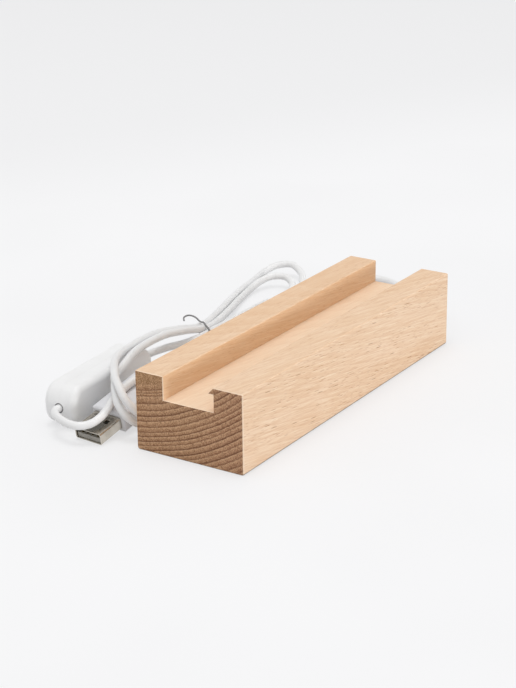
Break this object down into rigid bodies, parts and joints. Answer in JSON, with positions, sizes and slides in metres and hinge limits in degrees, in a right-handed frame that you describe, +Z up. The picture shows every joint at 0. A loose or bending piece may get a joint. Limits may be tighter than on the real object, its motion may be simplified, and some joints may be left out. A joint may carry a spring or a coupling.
{
  "type": "acrylic block stand",
  "caption": "Wooden block stand with a full-length channel for an edge-lit acrylic block, an LED strip, and a white USB cord with an inline rocker switch, tied in a hank.",
  "frame": {"origin": "centre of the wooden block's underside, where it stands on the table", "axes": "+X along the block towards the end where the cord leaves the channel, +Y from the block's front to its back where the hank lies, +Z up"},
  "size_m": [0.2134, 0.1086, 0.03],
  "materials": {
    "beech": "sanded, unfinished wood",
    "strip_white": "satin",
    "led_body": "gloss",
    "resistor_black": "matte",
    "core_jacket": "matte",
    "glue": "satin",
    "cord_white": "satin",
    "tie_wire": "matte",
    "switch_white": "satin",
    "rocker_white": "gloss",
    "steel": "bright",
    "brass": "bright",
    "grip_white": "satin",
    "shell_nickel": "nickel plated sheet",
    "insert_white": "satin",
    "contact_gold": "gold plated"
  },
  "bodies": {
    "root": {"wood_base": "beech", "led_board": "strip_white", "led_packages": "led_body", "led_resistors": "resistor_black", "strip_cores": "core_jacket", "lead_glue": "glue", "lamp_lead": "cord_white", "cord_hank": "cord_white", "switch_lead": "cord_white", "plug_lead": "cord_white", "hank_tie": "tie_wire", "switch_base": "switch_white", "switch_cover": "switch_white", "centre_terminal": "brass", "fixed_terminal": "brass", "switch_cores": "core_jacket", "usb_grip": "grip_white", "usb_shell": "shell_nickel", "usb_insert": "insert_white", "usb_contacts": "contact_gold"},
    "rocker": {"switch_rocker": "rocker_white", "rocker_plunger": "steel", "rocker_spring": "steel"},
    "lever": {"contact_lever": "brass"}
  },
  "joints": [
    {"name": "rocker_tip", "type": "hinge", "parent": "root", "child": "rocker", "pos_m": [-0.04824, 0.06279, 0.008], "axis": [0, 0, 1], "range_deg": [-16, 0]},
    {"name": "lever_tip", "type": "hinge", "parent": "root", "child": "lever", "pos_m": [-0.04774, 0.05566, 0.008], "axis": [0, 0, 1], "range_deg": [0, 12]}
  ],
  "couplings": [
    {"joint": "lever_tip", "follows": "rocker_tip", "ratio": -0.75}
  ]
}
